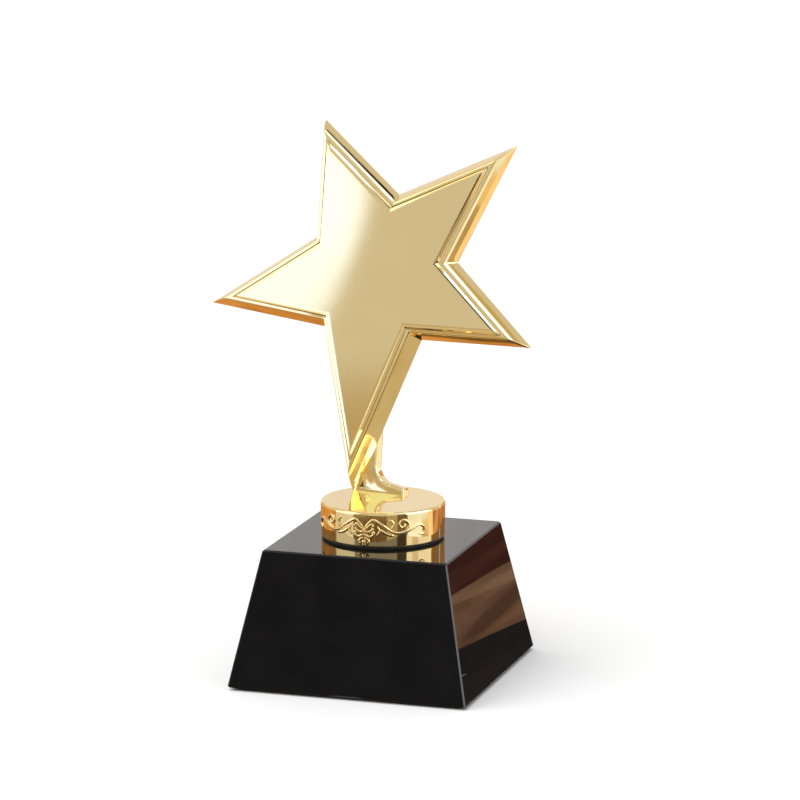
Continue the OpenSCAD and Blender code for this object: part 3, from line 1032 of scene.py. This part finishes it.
# What the table shows in reflections, with pools of light, painted shade round the base and cloth:
# (azimuths, distances in metres from the trophy's axis, darkest, lightest)
TABLE_CARDS = {
    "left_spill": ((-77, -36.5), (0.14, 0.225), (0.68, 0.68, 0.72), (0.78, 0.78, 0.84)),
    "foot_shade": ((-77, 62), (0.034, 0.075), (0.08, 0.055, 0.035), (0.12, 0.085, 0.055)),
    "left_far_spill": ((-77, -36.5), (0.225, 0.5), (1.1, 1.18, 1.25), (1.25, 1.35, 1.45)),
    "front_shade": ((-77, 62), (0.075, 0.14), (0.24, 0.17, 0.1), (0.32, 0.23, 0.14)),
    "dark_front": ((-36.5, 24), (0.14, 0.22), (0.11, 0.075, 0.045), (0.17, 0.12, 0.07)),
    "mid_front": ((24, 43), (0.14, 0.238), (0.34, 0.29, 0.18), (0.44, 0.38, 0.25)),
    "brown_front": ((-36.5, 24), (0.22, 0.238), (0.34, 0.25, 0.12), (0.44, 0.33, 0.18)),
    "khaki_front": ((-36.5, 43), (0.238, 1.4), (0.6, 0.54, 0.42), (0.7, 0.63, 0.52)),
    "dark_side": ((43, 62), (0.14, 1.4), (0.15, 0.1, 0.05), (0.19, 0.13, 0.075)),
    "near_side": ((62, 119), (0.062, 0.15), (0.54, 0.48, 0.35), (0.6, 0.54, 0.41)),
    "right_spill": ((62, 91), (0.15, 0.205), (1.0, 1.05, 1.2), (1.1, 1.2, 1.4)),
    "right_far_spill": ((62, 107), (0.205, 1.4), (0.82, 0.9, 1.0), (0.95, 1.05, 1.2)),
    "golden_side": ((91, 107), (0.15, 0.186), (0.42, 0.32, 0.17), (0.55, 0.43, 0.25)),
    "orange_side": ((91, 107), (0.186, 0.205), (0.78, 0.6, 0.34), (0.9, 0.7, 0.42)),
    "bright_orange_side": ((107, 119), (0.15, 0.3), (0.95, 0.74, 0.5), (1.1, 0.88, 0.64)),
    # painted shadow of the base on the table, right of it and behind it
    "base_shadow_right": ((62, 119), (0.034, 0.062), *BASE_SHADOW),
    "base_shadow_rear": ((119, 180), (0.034, 0.112), *BASE_SHADOW),
    "brown_cloth": ((119, 180), (0.112, 0.215), (0.3, 0.14, 0.07), (0.72, 0.36, 0.19)),
    "near_fold_highlight": ((119, 149.5), (0.215, 0.25), *FOLD_HIGHLIGHT),
    "shaded_cloth": ((180, 283), (0.034, 0.078), (0.16, 0.09, 0.03), (0.24, 0.14, 0.05)),
    "orange_cloth": ((180, 243), (0.078, 0.4), (0.5, 0.22, 0.05), (0.7, 0.34, 0.11)),
    "dim_cloth": ((243, 283), (0.078, 0.15), (0.38, 0.29, 0.24), (0.46, 0.37, 0.34)),
    "left_cloth": ((243, 283), (0.15, 0.4), (0.6, 0.28, 0.08), (0.84, 0.42, 0.14)),
}
# Folds of cloth with slanting sides, on the table, their lit ridges glowing as painted highlights:
# (azimuths, near side, far side, darkest, lightest)
FOLD_CARDS = {
    "bright_fold": ((149.5, 156), (0.215, 0.215), (0.235, 0.265), *FOLD_HIGHLIGHT),
    "wide_fold_highlight": ((156, 180), (0.215, 0.215), (0.265, 0.27), *FOLD_HIGHLIGHT),
    "dark_cloth": ((149.5, 156), (0.235, 0.265), (0.46, 0.46), *DARK_CLOTH),
    "far_dark_cloth": ((156, 180), (0.265, 0.27), (0.46, 0.46), *DARK_CLOTH),
}

pale_floor()
world = bpy.data.worlds.new("studio")
bpy.context.scene.world = world
world.use_nodes = True
world.node_tree.nodes["Background"].inputs["Color"].default_value = (1, 1, 1, 1)
world.node_tree.nodes["Background"].inputs["Strength"].default_value = WORLD_STRENGTH
bpy.context.scene.view_settings.view_transform = "Standard"

sunlight("soft_top_light", azimuth=-40, elevation=60, angle=70, strength=1.9)
for name, card in REFLECTORS.items():
    reflector(name, REFLECTOR_DISTANCE, *card)
for name, card in SCREENS.items():
    reflector(name, SCREEN_DISTANCE, *card)
for name, (azimuths, (near, far), dark, light) in TABLE_CARDS.items():
    table_card(name, azimuths, (near, near), (far, far), dark, light)
for name, card in FOLD_CARDS.items():
    table_card(name, *card)

# ---- Camera ----

CAMERA_AZIMUTH = 17.64
CAMERA_ELEVATION = 11.83
CAMERA_DISTANCE = 1.2138
CAMERA_LENS = 198.9
CAMERA_SENSOR_W = 36
CAMERA_SHIFT = Vector((0.0212, 0.0027))

camera_data = bpy.data.cameras.new("camera")
camera_data.lens = CAMERA_LENS
camera_data.sensor_width = CAMERA_SENSOR_W
camera_data.shift_x = CAMERA_SHIFT.x
camera_data.shift_y = CAMERA_SHIFT.y
camera = bpy.data.objects.new("camera", camera_data)
bpy.context.scene.collection.objects.link(camera)
towards = direction(CAMERA_AZIMUTH, CAMERA_ELEVATION)
camera.location = MIDDLE + towards * CAMERA_DISTANCE
camera.rotation_euler = towards.to_track_quat("Z", "Y").to_euler()
bpy.context.scene.camera = camera
